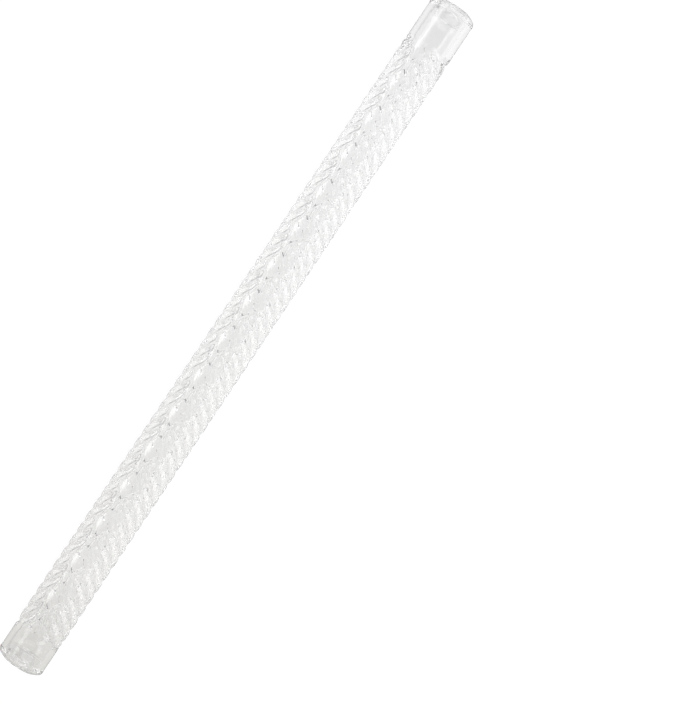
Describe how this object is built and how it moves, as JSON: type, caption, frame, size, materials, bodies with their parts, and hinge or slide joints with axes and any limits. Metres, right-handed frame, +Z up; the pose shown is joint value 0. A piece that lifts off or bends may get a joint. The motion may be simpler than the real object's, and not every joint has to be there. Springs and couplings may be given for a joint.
{
  "type": "embossing rolling pin",
  "caption": "Clear acrylic rolling pin that presses rope columns into fondant: a hollow roller with smooth ends, closed by push-in end plugs.",
  "frame": {"origin": "middle of the pin, on its axis", "axes": "+X along the axis towards the longer smooth end, +Z up through the middle of one of the two smooth strips between the rope columns"},
  "size_m": [0.335, 0.0218, 0.0214],
  "materials": {
    "roller_acrylic": "clear moulded acrylic, glossy",
    "plug_acrylic": "clear moulded acrylic, glossy"
  },
  "bodies": {
    "roller": {"roller_tube": "roller_acrylic"},
    "long_end_plug": {"long_end_plug": "plug_acrylic"},
    "short_end_plug": {"short_end_plug": "plug_acrylic"}
  },
  "joints": [
    {"name": "long_end_plug_pull", "type": "slide", "parent": "roller", "child": "long_end_plug", "axis": [1, 0, 0], "range_m": [0, 0.006]},
    {"name": "short_end_plug_pull", "type": "slide", "parent": "roller", "child": "short_end_plug", "axis": [-1, 0, 0], "range_m": [0, 0.006]}
  ]
}
